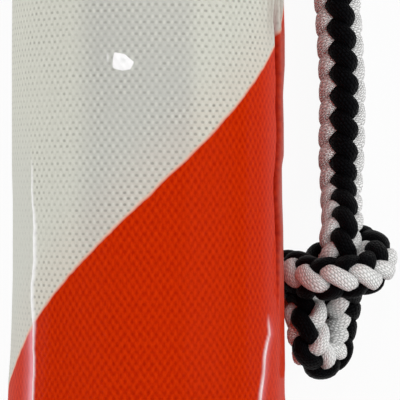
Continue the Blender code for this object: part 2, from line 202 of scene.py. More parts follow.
# Which way a black column of the plait faces, as (number of a point in the route, direction)
RUN_FACING = (
    (0, (0, -1, 0)), (3, (0.15, 0, 1)), (6, (0, 0, 1)), (10, (0.14, 0, 1)), (13, (0.14, 0, 1)),
)
HAND_FACING = (
    (0, (0.14, 0, 1)), (3, (0.14, 0, 1)), (5, (0.6, 0, 0.8)), (6, (0.98, 0, 0.2)), (7, (1, 0, 0)),
    (9, (0, -0.9, 0.43)), (10, (-0.5, -0.2, 0.85)), (11, (-0.25, 0, 0.97)), (12, (-0.3, 0.2, 0.9)),
    (13, (-0.8, 0.3, 0.5)), (14, (-0.4, 0.8, 0.4)), (15, (0.2, 0.9, 0.4)), (16, (0.1, 1, 0)),
    (18, (0, 1, 0)), (20, (0.3, 0.9, 0)), (21, (0.7, 0, 0.7)), (23, (0, 0, 1)),
)
STOPPER_FACING = ((1, (0, -1, 0)),)

# Studio
CAMERA_DISTANCE = 0.5
CAMERA_PLACE = (0.00977, -0.012)
PICTURE_WIDTH = 0.0766
TABLE_REACH = 3.0
TABLE_GLOW = 0.94
WORLD_STRENGTH = 0.2


def smoothstep(value, low, high):
    share = np.clip((value - low) / (high - low), 0.0, 1.0)
    return share * share * (3.0 - 2.0 * share)


def window(value, start, full, fading, gone):
    """A share that rises from 0 at start to 1 at full, and falls again from fading to gone."""
    return smoothstep(value, start, full) * smoothstep(-value, -gone, -fading)


def unit(vectors):
    return vectors / np.linalg.norm(vectors, axis=-1, keepdims=True)


def run_along(points):
    """How far along a path each of its points lies."""
    steps = np.linalg.norm(np.diff(points, axis=0), axis=1)
    return np.concatenate(([0.0], np.cumsum(steps)))


def along_path(rows, run, wanted):
    """Rows of three values that go with distances along a path (run), at the distances wanted."""
    return np.column_stack([np.interp(wanted, run, rows[:, axis]) for axis in range(3)])


# Meshes


def tube_grid(rings):
    """Points, faces and face corner UVs of a tube from rings of points, shape (rings, sides, 3)."""
    rows, sides = rings.shape[:2]
    here = np.arange(rows * sides).reshape(rows, sides)
    there = np.roll(here, -1, axis=1)
    quads = np.stack((here[:-1], there[:-1], there[1:], here[1:]), axis=-1).reshape(-1, 4)
    middle = rings.mean(axis=1)
    run = run_along(middle)
    around = np.arange(sides) / sides
    ahead = around + 1 / sides
    u = np.stack((around, ahead, ahead, around), axis=-1)
    u = np.broadcast_to(u, (rows - 1, sides, 4))
    v = np.stack((run[:-1], run[:-1], run[1:], run[1:]), axis=-1)[:, None, :]
    v = np.broadcast_to(v, (rows - 1, sides, 4))
    return rings.reshape(-1, 3), quads, np.stack((u, v), axis=-1).reshape(-1, 2)


def facing_out(points, quads, corners):
    """A part's faces and corner UVs, turned where needed so that the faces' fronts are outside."""
    a, b, c, d = (points[quads[:, i]] for i in range(4))
    away = (a + b + c + d) / 4 - points.mean(axis=0)
    if np.sum(away * np.cross(c - a, d - b)) < 0.0:
        quads = quads[:, ::-1]
        corners = corners.reshape(-1, 4, 2)[:, ::-1].reshape(-1, 2)
    return quads, corners


def mesh_piece(node, name, slot, parts, *materials, body="bumper"):
    """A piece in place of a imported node, from parts: each (points, faces of four corners, corner
    UVs, material index)."""
    parts = [(part[0], *facing_out(*part[:3]), part[3]) for part in parts]
    points = np.vstack([part[0] for part in parts])
    starts = np.cumsum([0] + [len(part[0]) for part in parts[:-1]])
    quads = np.vstack([part[1] + start for part, start in zip(parts, starts)])
    slots = np.concatenate([np.full(len(part[1]), part[3]) for part in parts])
    mesh = bpy.data.meshes.new(name)
    mesh.vertices.add(len(points))
    mesh.vertices.foreach_set("co", points.ravel())
    mesh.loops.add(quads.size)
    mesh.loops.foreach_set("vertex_index", quads.ravel().astype(np.int32))
    mesh.polygons.add(len(quads))
    mesh.polygons.foreach_set("loop_start", np.arange(0, quads.size, 4, dtype=np.int32))
    mesh.polygons.foreach_set("material_index", slots.astype(np.int32))
    mesh.update(calc_edges=True)
    layer = mesh.uv_layers.new(name="UVMap")
    layer.data.foreach_set("uv", np.vstack([part[2] for part in parts]).ravel())
    mesh.shade_smooth()
    for material in materials:
        mesh.materials.append(material)
    piece = bpy.data.objects.new(name, mesh)
    bpy.context.scene.collection.objects.link(piece)
    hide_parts(node)
    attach(piece, body)
    return piece


# Node materials


class Look:
    """A material on one Principled shader, with short calls for the nodes in front of it."""

    def __init__(self, name, roughness, specular=0.5, **constants):
        self.material = bpy.data.materials.new(name)
        self.material.use_nodes = True
        self.tree = self.material.node_tree
        self.shader = self.tree.nodes["Principled BSDF"]
        self.shader.inputs["Roughness"].default_value = roughness
        self.shader.inputs["Specular IOR Level"].default_value = specular
        for key, value in constants.items():
            self.shader.inputs[key.replace("_", " ")].default_value = value

    def connect(self, socket, value):
        if isinstance(value, bpy.types.NodeSocket):
            self.tree.links.new(value, socket)
        else:
            socket.default_value = value

    def node(self, kind, inputs=(), **settings):
        node = self.tree.nodes.new("ShaderNode" + kind)
        for key, value in settings.items():
            setattr(node, key, value)
        for key, value in dict(inputs).items():
            self.connect(node.inputs[key], value)
        return node

    def math(self, operation, *values, clamp=False):
        node = self.node("Math", operation=operation, use_clamp=clamp)
        for socket, value in zip(node.inputs, values):
            self.connect(socket, value)
        return node.outputs[0]

    def times(self, first, second, clamp=False):
        return self.math("MULTIPLY", first, second, clamp=clamp)

    def scaled(self, value, factor, offset):
        return self.math("MULTIPLY_ADD", value, factor, offset)

    def step(self, value, low, high):
        """A smooth step of value, from 0 at low to 1 at high."""
        inputs = {"Value": value, "From Min": low, "From Max": high}
        return self.node("MapRange", inputs, interpolation_type="SMOOTHSTEP").outputs[0]

    def mix(self, factor, first, second, blend="MIX"):
        node = self.node("Mix", data_type="RGBA", blend_type=blend)
        for index, value in ((0, factor), (6, first), (7, second)):
            if isinstance(value, tuple):
                value = (*value, 1.0)
            self.connect(node.inputs[index], value)
        return node.outputs[2]

    def noise(self, vector, scale, detail=3.0, roughness=0.5):
        inputs = {"Vector": vector, "Scale": scale, "Detail": detail, "Roughness": roughness}
        return self.node("TexNoise", inputs).outputs["Fac"]

    def uv(self, across, along):
        """The UVs times (across, along), as (vector, x, y)."""
        place = self.node("TexCoord").outputs["UV"]
        inputs = {0: place, 1: (across, along, 1.0)}
        vector = self.node("VectorMath", inputs, operation="MULTIPLY").outputs[0]
        parts = self.node("SeparateXYZ", {"Vector": vector})
        return vector, parts.outputs["X"], parts.outputs["Y"]

    def share(self, name):
        """A share that the mesh carries."""
        return self.node("Attribute", attribute_name=name).outputs["Fac"]

    def object_place(self):
        return self.node("TexCoord").outputs["Object"]

    def bump(self, height, distance, strength=1.0, normal=None):
        inputs = {"Height": height, "Distance": distance, "Strength": strength}
        if normal is not None:
            inputs["Normal"] = normal
        return self.node("Bump", inputs).outputs[0]

    def set(self, **inputs):
        for key, value in inputs.items():
            self.connect(self.shader.inputs[key.replace("_", " ")], value)
        return self.material


def canvas_look():
    """Two-colour printed canvas under a clear film, on UVs of one girth by one length."""
    look = Look("printed canvas", 0.62, 0.0, Coat_Weight=0.15, Coat_Roughness=0.10, Coat_IOR=1.36)
    vector, around, along = look.uv(GIRTH, BODY_LENGTH)
    wobble = look.noise(vector, 260.0, 2.0)
    shift = look.scaled(wobble, 0.00044, -0.00022)
    across = look.math("ADD", around, shift)
    down = look.math("SUBTRACT", along, shift)
    columns = look.math("COSINE", look.times(across, 2 * math.pi / WEAVE_WIDTH))
    rows = look.math("COSINE", look.times(down, math.pi / WEAVE_ROW))
    weave = look.times(columns, rows)
    row_height = look.math("ABSOLUTE", rows)
    spot = look.scaled(row_height, 0.35, weave)
    dots = look.step(look.times(spot, look.times(rows, rows)), 0.12, 1.05)
    bumps = look.step(weave, 0.0, -0.9)
    dashes = look.step(look.times(weave, look.math("ABSOLUTE", columns)), 0.0, 0.8)

    # The film lies tight along the middle and close to the print, and looser towards the sides
    loose_film_and_reflection = look.share("loose_film_and_reflection")
    painted_middle_shade = look.share("painted_middle_shade")
    patchy = look.step(look.noise(vector, 70.0, 2.0), 0.25, 0.75)
    tight = look.scaled(loose_film_and_reflection, -0.7, 1.0)
    uneven = look.scaled(look.noise(vector, 420.0, 1.0), 1.1, -0.05)
    showing = look.times(tight, look.scaled(patchy, 0.5, 0.5))
    showing = look.times(showing, uneven, clamp=True)

    line_start = PRINT_MIDDLE - PRINT_SLOPE * GIRTH / 2 - FAR_END
    line = look.scaled(across, PRINT_SLOPE, line_start)
    below = look.math("SUBTRACT", line, down)
    orange = look.step(below, -0.00012, 0.00016)
    off_edge = look.math("ABSOLUTE", look.math("DIVIDE", below, 0.00045))
    edge = look.math("SUBTRACT", 1.25, off_edge, clamp=True)
    nearby = look.step(below, -0.016, 0.0)

    # Threads of the cloth, slubby and longer down the cover than across it
    stretch = {0: vector, 1: (1.0, 0.4, 1.0)}
    stretched = look.node("VectorMath", stretch, operation="MULTIPLY").outputs[0]
    slubs = look.step(look.noise(stretched, 2300.0, 2.0), 0.28, 0.72)
    white = look.mix(slubs, (0.615, 0.615, 0.540), (0.670, 0.670, 0.595))
    # Painted shade: the middle of the top greyed, as if it caught less light than the sides
    white = look.mix(painted_middle_shade, white, (0.53, 0.53, 0.49))
    white = look.mix(look.times(nearby, 0.35), white, (0.68, 0.56, 0.48))
    # Painted shade in the weave's pits and painted highlight on its high threads, from the bump's
    # relief
    pits = look.times(dots, look.scaled(nearby, 0.2, showing))
    white = look.mix(look.times(bumps, showing), white, (0.74, 0.74, 0.67))
    white = look.mix(pits, white, (0.26, 0.255, 0.22))
    # Painted reflection: the white greyed where the film stands off the canvas
    white = look.mix(look.times(loose_film_and_reflection, 0.45), white, (0.55, 0.56, 0.53))
    white = look.mix(look.share("streaks"), white, (0.36, 0.30, 0.25))
    red = look.mix(slubs, (0.51, 0.016, 0.0002), (0.60, 0.027, 0.0004))
    # The same painted highlight and shade of the weave, on the print
    red = look.mix(look.times(bumps, 0.40), red, (0.70, 0.042, 0.0010))
    red = look.mix(look.times(dots, 0.28), red, (0.36, 0.008, 0.0001))
    # Painted shade in the low places between the threads
    wear_and_shade = look.times(dashes, look.times(showing, 0.7))
    red = look.mix(wear_and_shade, red, (0.36, 0.009, 0.0001))
    # Painted reflection: a pink tint on the print where the film stands off it
    red = look.mix(look.times(loose_film_and_reflection, 0.06), red, (0.66, 0.36, 0.34))
    # Painted reflection: pink beside the creases
    red = look.mix(look.share("haze"), red, (0.86, 0.36, 0.41))
    colour = look.mix(orange, white, red)
    colour = look.mix(look.times(edge, 0.80), colour, (0.78, 0.46, 0.34))
    # Painted shade: the fold's groove darkened
    colour = look.mix(look.share("fold"), colour, (0.40, 0.08, 0.12), "MULTIPLY")
    # Painted shade beyond the fold's lip
    colour = look.mix(look.share("rim"), colour, (0.33, 0.11, 0.09))
    # Painted highlight: near white on the creases and blister, greyer mid-blister, pink on the
    # print
    blister_glint = look.step(look.share("blister"), 1.06, 0.94)
    painted_glint = look.math("MAXIMUM", look.share("lift"), blister_glint)
    hollow = look.step(look.share("blister"), 0.42, 0.05)
    clear = look.mix(look.times(hollow, 0.35), (1.0, 0.99, 0.99), (0.60, 0.61, 0.58))
    clear = look.mix(look.times(orange, 0.45), clear, (1.0, 0.72, 0.76))
    colour = look.mix(painted_glint, colour, clear)

    relief = look.times(look.scaled(weave, -0.5, 0.5), tight)
    cloth = look.bump(relief, 0.00022, 0.8)
    sag = look.scaled(relief, 0.12, look.noise(vector, 95.0, 3.0))
    film = look.bump(sag, 0.00025, 0.6)
    return look.set(Base_Color=colour, Normal=cloth, Coat_Normal=film)


def yarn_look(name, dark, light, specular, sheen):
    """Yarns laid along a strand: short dashes in staggered rows, on UVs of one turn by metres."""
    look = Look(name, 0.55, specular, Sheen_Weight=sheen, Sheen_Roughness=0.4)
    around, along = look.uv(1.0, 1.0)[1:]
    lean = look.times(along, 420.0)
    yarns = look.scaled(around, 22.0, lean)
    cell = look.math("FLOOR", yarns)
    within = look.math("FRACT", yarns)
    stagger = look.times(cell, 0.5)
    dashes = look.math("FRACT", look.scaled(along, 1500.0, stagger))
    round_across = look.math("SINE", look.times(within, math.pi))
    round_along = look.math("SINE", look.times(dashes, math.pi))
    lump = look.math("POWER", look.times(round_across, round_along), 0.6)
    fuzz = look.noise(look.object_place(), 2600.0, 3.0)
    lump = look.scaled(look.math("SUBTRACT", fuzz, 0.5), 0.7, lump)
    # Painted shade: the colour goes dark in the gaps between yarns, where the bump is low
    colour = look.mix(look.step(lump, 0.15, 0.85), dark, light)
    return look.set(Base_Color=colour, Normal=look.bump(lump, 0.00017, 1.0))


def tape_look():
    """Black woven tape, ribbed across its width."""
    look = Look("binding tape", 0.75, 0.3, Sheen_Weight=0.25, Sheen_Roughness=0.5)
    along = look.uv(1.0, 1.0)[2]
    ribs = look.math("SINE", look.times(along, 2 * math.pi / 0.00075))
    fine = look.noise(look.object_place(), 2400.0, 3.0)
    height = look.scaled(fine, 0.7, look.times(ribs, 0.5))
    # Wear: a tone that varies at random over the tape
    wear_and_shade = look.noise(look.object_place(), 160.0, 4.0)
    colour = look.mix(wear_and_shade, (0.006, 0.006, 0.007), (0.020, 0.020, 0.022))
    # Painted highlight on the crests of the ribs and fibres, where the bump is high
    colour = look.mix(look.step(height, 0.3, 1.1), colour, (0.030, 0.030, 0.033))
    return look.set(Base_Color=colour, Normal=look.bump(height, 0.00012, 0.8))


def thread_look():
    """Bonded sewing thread, its plies twisted round each other."""
    look = Look("sewing thread", 0.45, 0.4)
    around, along = look.uv(1.0, 1.0)[1:]
    ply = look.scaled(around, 3.0, look.times(along, 900.0))
    twist = look.math("SINE", look.times(ply, 2 * math.pi))
    # Painted shade in the grooves between plies, keyed to the twist of the bump
    colour = look.mix(look.step(twist, -1.0, 1.0), (0.004, 0.004, 0.005), (0.030, 0.030, 0.032))
    return look.set(Base_Color=colour, Normal=look.bump(twist, 0.00008, 0.7))


def nickel_look():
    """Plated metal with fingerprints and fine scratches."""
    look = Look("nickel plate", 0.25, 0.5, Metallic=1.0)
    place = look.object_place()
    smears = look.noise(place, 220.0, 4.0)
    stretch = {"Vector": place, "Scale": (9000.0, 700.0, 700.0)}
    scratches = look.noise(look.node("Mapping", stretch).outputs[0], 1.0, 2.0)
    roughness = look.scaled(smears, 0.20, 0.14)
    colour = look.mix(smears, (0.62, 0.59, 0.54), (0.74, 0.72, 0.67))
    relief = look.bump(scratches, 0.00004, 0.35)
    return look.set(Base_Color=colour, Roughness=roughness, Normal=relief)


def melted_look():
    """Rope end melted to a blob: black and smoky white plastic run together."""
    look = Look("melted rope end", 0.38, 0.5)
    place = look.object_place()
    runs = look.noise(place, 420.0, 4.0)
    colour = look.mix(look.step(runs, 0.50, 0.62), (0.010, 0.009, 0.009), (0.30, 0.26, 0.22))
    height = look.noise(place, 900.0, 3.0)
    return look.set(Base_Color=colour, Normal=look.bump(height, 0.0003, 0.5))


def foam_look():
    look = Look("closed-cell foam", 0.9, 0.2)
    cells = look.node("TexVoronoi", {"Vector": look.object_place(), "Scale": 900.0})
    cells = cells.outputs["Distance"]
    # Painted shade in the cells' hollows, where the bump is low
    colour = look.mix(look.step(cells, 0.0, 0.6), (0.55, 0.55, 0.52), (0.80, 0.80, 0.77))
    return look.set(Base_Color=colour, Normal=look.bump(cells, 0.0003, 0.7))


# Cover


def pinch(y):
    """How far the cover is pressed flat at y, from 0 in the middle to 1 on the tabs."""
    rope_share = (y - (ROPE_TAB_START - ROPE_TAPER_LENGTH)) / ROPE_TAPER_LENGTH
    far_share = ((FAR_TAB_START + FAR_TAPER_LENGTH) - y) / FAR_TAPER_LENGTH
    return min(max(rope_share, far_share, 0.0), 1.0) ** PINCH_POWER


def cover_outline(y, arcs):
    """The cover's section at y: its points at distances (arcs) round it from its top line, where
    distances towards +X are positive. Its girth is the same all along."""
    angles = np.linspace(1.5 * math.pi, -0.5 * math.pi, OUTLINE_POINTS)
    thickness = BODY_RADIUS + (TAB_HALF_THICKNESS - BODY_RADIUS) * pinch(y)
    spread = math.pi / 2 * (BODY_RADIUS - thickness)
    aside = np.cos(angles)
    x = thickness * aside + np.copysign(spread * np.abs(aside) ** (1.0 - pinch(y)), aside)
    z = AXIS_HEIGHT + np.maximum(thickness * np.sin(angles), -AXIS_HEIGHT)
    steps = np.hypot(np.diff(x), np.diff(z))
    run = np.concatenate(([0.0], np.cumsum(steps)))
    wanted = (arcs / GIRTH + 0.5) * run[-1]
    x, z = np.interp(wanted, run, x), np.interp(wanted, run, z)
    return np.column_stack((x, np.full(len(arcs), y), z))


def line_at(y, points):
    """The distance from the top line, at y, of a crease through (y, distance) points."""
    places = np.array(sorted(points))
    return np.interp(y, places[:, 0], places[:, 1])


def ridge(offset, width):
    return np.exp(-((offset / width) ** 2))


def share_of_reach(across, along, outline):
    """How far a place is from the middle of an outline, where the outline itself is at 1."""
    corners = np.array(outline)
    ahead = np.roll(corners, -1, axis=0)
    share = np.zeros_like(across)
    for (x, y), (next_x, next_y) in zip(corners, ahead):
        outward = np.array((next_y - y, x - next_x))
        if outward @ (x, y) < 0.0:
            outward = -outward
        share = np.maximum(share, (across * outward[0] + along * outward[1]) / (outward @ (x, y)))
    return share


def cover_relief(y, arc):
    """How far the film and canvas stand off the plain shape at y and arc, and these shares: a
    painted highlight where the film rises along creases and at the blister (lift), painted shade in
    the fold's groove (fold) and beyond its lip (rim), film standing off the canvas with a painted
    reflection on it (loose_film_and_reflection), painted shade along the middle of the top
    (painted_middle_shade), a painted reflection beside the creases (haze) and dark
    streaks along the cover (streaks). The last one, blister, is 1 on the blister's edge."""
    height = 0.00010 * np.sin(y * 140.0 + 2.0 * np.sin(arc * 90.0)) * np.cos(arc * 40.0)
    # Share of a painted highlight along the creases and on the blister
    lift = np.zeros_like(height)

    # The long crease in the film left of the top, with the film loose beyond it
    left = line_at(y, LEFT_CREASE)
    left = left + 0.00012 * np.sin(y * 700.0) + 0.00006 * np.sin(y * 2100.0)
    shown = window(-y, 0.003, 0.009, 0.054, 0.068)
    wide = 0.00020 + 0.00022 * smoothstep(-y, 0.010, 0.020) * smoothstep(y, -0.040, -0.032)
    crest = ridge(arc - left, 0.0004) - 0.6 * ridge(arc - left + 0.0011, 0.0006)
    height += LEFT_CREASE_HEIGHT * shown * crest
    # Painted highlight along the crease's crest
    lift += shown * ridge((arc - left) / wide, 1.4)
    beyond = smoothstep(left - arc, -0.0001, 0.0005)
    # This share also carries a painted reflection in the colour
    loose_film_and_reflection = beyond * smoothstep(arc, -0.052, -0.036) * 0.8
    loose_film_and_reflection = loose_film_and_reflection * window(-y, -0.012, 0.012, 0.050, 0.075)
    # Painted reflection beside the crease: pink on the print, fading away from the crease
    reflection_falloff = ridge(arc - left + 0.0010, 0.0012) + 0.15 * ridge(arc - left + 0.0034, 0.0012)
    haze = beyond * shown * np.clip(reflection_falloff, 0.0, 1.0) * (0.88 + 0.12 * np.sin(y * 230.0))

    # The short crease right of the top
    right = line_at(y, RIGHT_CREASE) + 0.00008 * np.sin(y * 1100.0)
    shown = window(-y, 0.033, 0.037, 0.052, 0.064)
    height += RIGHT_CREASE_HEIGHT * shown * ridge(arc - right, 0.00035)
    # Painted highlight along this crease too
    lift += shown * ridge(arc - right, 0.00042) * (0.85 + 0.15 * np.sin(y * 900.0))
    # Painted reflection beside this crease too
    near = smoothstep(arc - right, -0.0001, 0.0005) * ridge(arc - right, 0.0016)
    haze = np.maximum(haze, 0.38 * shown * near)
    slack = window(arc, 0.0235, 0.0300, 0.040, 0.052) * 0.75
    slack = slack * smoothstep(y, -0.085, -0.060) * smoothstep(-y, -0.060, -0.030)
    loose_film_and_reflection = np.maximum(loose_film_and_reflection, slack)

    # The fold low on the rope's side: a groove between two lips
    inner = line_at(y, FOLD_INNER) + 0.00012 * np.sin(y * 800.0)
    outer = line_at(y, FOLD_OUTER) + 0.00012 * np.sin(y * 650.0 + 1.0)
    shown = window(y, -0.036, -0.022, 0.014, 0.028)
    groove = smoothstep(arc - inner, -0.0001, 0.0002) * smoothstep(outer - arc, -0.0003, 0.0003)
    lip_height = FOLD_LIP_HEIGHT * ridge(arc - outer - 0.0009, 0.0008)
    height += shown * (lip_height - FOLD_DEPTH * groove)
    for side_arc, side_reach in ((SIDE_ARC, RIGHT_REACH), (-SIDE_ARC, LEFT_REACH)):
        height += line_at(y, side_reach) * ridge(arc - side_arc, 0.0065)
    lip = smoothstep(arc - outer, 0.0, 0.0005) * smoothstep(-arc, -0.0420, -0.0385)
    # Painted shade in the groove
    fold = 0.95 * shown * groove
    # Painted shade on the lip beyond the groove, out to the cover's side
    rim = 0.55 * shown * lip * (1.0 - groove)
    loose_film_and_reflection = loose_film_and_reflection * (1.0 - fold)

    # A blister in the film near the middle
    across, along = arc - BLISTER_ARC, y - BLISTER_Y
    blister = share_of_reach(across, along, BLISTER_OUTLINE)
    height += BLISTER_HEIGHT * smoothstep(-blister, -1.2, -0.5)
    # Painted highlight: a sliver of glint on the blister's left side
    lift += 0.75 * ridge(across + 0.0030, 0.00013) * ridge(along - 0.0004, 0.0007)

    # Lap seam low on the side away from the rope, drawn in by its two rows of stitches
    beyond = smoothstep(-arc, -LAP_EDGE - 0.0002, -LAP_EDGE + 0.0003)
    height += LAP_STEP * beyond * smoothstep(arc, -0.079, -0.070)
    for row in SEAM_ROWS:
        height -= SEAM_DRAW * ridge(arc - row, 0.0009)

    # Puckers where each end is gathered into its flat tab
    waves = np.sin(arc * 2 * math.pi / 0.0131 + 0.7)
    waves += 0.6 * np.sin(arc * 2 * math.pi / 0.0079 + 2.1)
    for inward in (ROPE_TAB_START - y, y - FAR_TAB_START):
        reach = np.clip(inward, 0.0, None) / PUCKER_REACH
        height += PUCKER_HEIGHT * waves * reach * np.exp(1.0 - reach) * 0.5 * (inward > 0.0)

    # Stitches that shut the core in draw the canvas down along their row
    for node in ("closing_thread_rope_top", "closing_thread_far_top"):
        row_low, row_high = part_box(node)
        height -= CLOSING_DRAW * ridge(y - (row_low.y + row_high.y) / 2, 0.0011)

    # Painted shade along the middle of the top, between the brighter sides
    painted_middle_shade = window(arc, -0.0155, -0.0085, 0.0066, 0.0108)
    painted_middle_shade = painted_middle_shade * (0.90 + 0.10 * np.sin(y * 160.0 + arc * 130.0))
    streaks = 0.5 + 0.5 * np.sin(arc * 2900.0 + 1.5 * np.sin(y * 120.0)) * np.sin(arc * 900.0)
    streaks *= window(arc, 0.0235, 0.0300, 0.0345, 0.0400)
    streaks *= window(y, 0.0150, 0.0230, 0.0270, 0.0370)
    shares = {"lift": lift, "fold": fold, "loose_film_and_reflection": loose_film_and_reflection, "painted_middle_shade": painted_middle_shade}
    shares.update(haze=haze, rim=rim, streaks=0.8 * streaks)
    shares = {name: np.clip(share, 0.0, 1.0) for name, share in shares.items()}
    return height, {**shares, "blister": np.clip(blister, 0.0, 3.0)}


def graded(zones, plain, fine):
    """Places through zones that are plainly and finely spaced in turn, without the last end."""
    places = []
    for i, (low, high) in enumerate(zip(zones[:-1], zones[1:])):
        count = round((high - low) / (fine if i % 2 else plain))
        places.append(np.linspace(low, high, count, endpoint=False))
    return np.concatenate(places)


def cover_arcs():
    """Distances round the cover for its columns of points, closest together along the creases."""
    zones = (-GIRTH / 2, -0.0275, -0.0230, -0.0074, -0.0014, 0.0230, 0.0385, GIRTH / 2)
    return graded(zones, 0.0010, 0.0002)


def cover_rows():
    """Places along the cover for its rows of points, closest together at the blister."""
    zones = (FAR_END, BLISTER_Y - 0.0035, BLISTER_Y + 0.0035, ROPE_END)
    return np.append(graded(zones, 0.0008, 0.0004), ROPE_END)


def cover_surface(y_places, arcs):
    """Points of the cover's outer face, with its relief, and the shares of the film's and canvas's
    marks and of the painted highlights, shades and reflections.
    """
    plain = np.stack([cover_outline(y, arcs) for y in y_places])
    around = np.roll(plain, -1, axis=1) - np.roll(plain, 1, axis=1)
    lengthwise = np.gradient(plain, y_places, axis=0)
    outward = unit(np.cross(around, lengthwise))
    height, shares = cover_relief(*np.meshgrid(y_places, arcs, indexing="ij"))
    points = plain + outward * height[..., None]
    points[..., 2] = np.maximum(points[..., 2], COVER_LOW.z)
    return points, shares


def build_cover(material):
    y_places, arcs = cover_rows(), cover_arcs()
    points, shares = cover_surface(y_places, arcs)
    rows, sides = points.shape[:2]
    here = np.arange(rows * sides).reshape(rows, sides)
    there = np.roll(here, -1, axis=1)
    quads = np.stack((here[:-1], here[1:], there[1:], there[:-1]), axis=-1).reshape(-1, 4)
    u = arcs / GIRTH + 0.5
    ahead = np.append(u[1:], 1.0)
    v = (y_places - FAR_END) / BODY_LENGTH
    corners = np.empty((rows - 1, sides, 4, 2))
    corners[..., 0] = np.stack((u, u, ahead, ahead), axis=-1)[None]
    corners[..., 1] = np.stack((v[:-1], v[1:], v[1:], v[:-1]), axis=-1)[:, None]
    places = points.reshape(-1, 3)
    middles = places[quads].mean(axis=1)
    clear = np.hypot(middles[:, 0], middles[:, 1] - GROMMET_Y) > GROMMET_HOLE_RADIUS
    used, quads = np.unique(quads[clear], return_inverse=True)
    part = (places[used], quads.reshape(-1, 4), corners.reshape(-1, 4, 2)[clear].reshape(-1, 2), 0)
    cover = mesh_piece("cover", "canvas_cover", "canvas", [part], material)
    for name, share in shares.items():
        layer = cover.data.attributes.new(name, "FLOAT", "POINT")
        layer.data.foreach_set("value", share.ravel()[used])


# Tape and sewing


def build_binding(node, outward, material):
    """Tape folded over a flat end and sewn down: a U in side view, with its cut ends closed."""
    low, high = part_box(node)
    reach = (high.x - low.x) / 2
    fold_y = (high.y if outward > 0 else low.y) - outward * (high.z - low.z) / 2
    radius = (high.z - low.z - TAPE_THICKNESS) / 2
    leg = np.linspace(-TAPE_LEG, 0.0, TAPE_LEG_STEPS, endpoint=False)
    nose = np.linspace(math.pi / 2, -math.pi / 2, 17)
    along = np.concatenate((leg, radius * np.cos(nose), leg[::-1]))
    flat = np.full(TAPE_LEG_STEPS, radius)
    up = np.concatenate((flat, radius * np.sin(nose), -flat))
    normal = unit(np.column_stack((np.gradient(up), -np.gradient(along))))
    normal *= np.sign(np.sum(normal * np.column_stack((along + TAPE_LEG, up)), axis=1))[:, None]
    from_edge = np.minimum(np.arange(len(along)), np.arange(len(along))[::-1])
    from_edge = from_edge * TAPE_LEG / TAPE_LEG_STEPS
    rounding = np.sqrt(1.0 - (1.0 - np.clip(from_edge / TAPE_ROUNDING, 0.0, 1.0)) ** 2)
    row = -TAPE_LEG + TAPE_SETBACK
    inner = np.arange(-reach + TAPE_ROUNDING, reach - TAPE_ROUNDING, 0.0004)
    ends = np.array([0.0, 0.00003, 0.00012, 0.00024])
    places = np.concatenate((-reach + ends, inner, (reach - ends)[::-1]))
    row_reach = reach - ROW_END_GAP
    stitches = round(2 * row_reach / STITCH_LENGTH)
    rings = []
    for x in places:
        to_end = reach - abs(x)
        cut = math.sqrt(max(0.0, 1.0 - (1.0 - min(to_end / TAPE_ROUNDING, 1.0)) ** 2))
        between = math.cos(math.pi * stitches * (x / row_reach + 1.0)) ** 2
        sewn = 0.00012 + 0.00022 * between * (abs(x) < row_reach + 0.0005)
        dent = sewn * ridge(along - row, 0.0010) * (np.abs(up) > radius * 0.9)
        swell = 0.00010 * np.sin(x * 410.0 + along * 300.0) + 0.00008 * np.sin(x * 1130.0)
        waver = 0.00018 * math.sin(x * 330.0) + 0.00010 * math.sin(x * 870.0)
        middle = np.column_stack((along - waver * (along < -0.004), up))
        thick = TAPE_THICKNESS / 2 * cut * rounding
        outside = middle + normal * (thick - dent + swell * cut)[:, None]
        inside = middle - normal * thick[:, None]
        loop = np.vstack((outside, inside[::-1]))
        y, z = fold_y + outward * loop[:, 0], AXIS_HEIGHT + loop[:, 1]
        rings.append(np.column_stack((np.full(len(loop), x), y, z)))
    parts = [(*tube_grid(np.array(rings)), 0)]
    mesh_piece(node, node + "_tape", "tape", parts, material)


def stitch_parts(middles, outward, count):
    """Tube parts for a row of stitches along a path of points with their outward directions. Each
    stitch comes up out of one hole, lies along the surface and dives into the next."""
    steps = run_along(middles)
    turn = np.arange(THREAD_SIDES) * 2 * math.pi / THREAD_SIDES
    parts = []
    for i in range(count):
        share = np.linspace(STITCH_GAP, 1.0 - STITCH_GAP, STITCH_POINTS)
        wanted = (i + share) * steps[-1] / count
        line = along_path(middles, steps, wanted)
        out = unit(along_path(outward, steps, wanted))
        ahead = unit(np.gradient(line, axis=0))
        side = unit(np.cross(out, ahead))
        lain = (share - STITCH_GAP) / (1.0 - 2 * STITCH_GAP)
        arch = np.clip(np.sin(math.pi * lain), 0.0, 1.0) ** 0.35
        height = (THREAD_DEPTH + THREAD_THICKNESS * 0.42) * arch - THREAD_DEPTH
        slant = (share - 0.5) * 0.00032
        line = line + out * height[:, None] + side * slant[:, None]
        ahead = unit(np.gradient(line, axis=0))
        top = unit(np.cross(ahead, side))
        twist = 3 * turn[None, :] + 2 * math.pi * 3 * wanted[:, None] / THREAD_LAY
        swell = 1.0 + 0.09 * np.cos(twist)
        across = side[:, None, :] * (np.cos(turn)[None, :] * swell * THREAD_WIDTH / 2)[..., None]
        over = top[:, None, :] * (np.sin(turn)[None, :] * swell * THREAD_THICKNESS / 2)[..., None]
        parts.append((*tube_grid(line[:, None, :] + across + over), 0))
    return parts


def sewing_piece(node, middles, outward, material):
    count = round(run_along(middles)[-1] / STITCH_LENGTH)
    parts = stitch_parts(middles, outward, count)
    mesh_piece(node, node + "_stitches", "thread", parts, material)


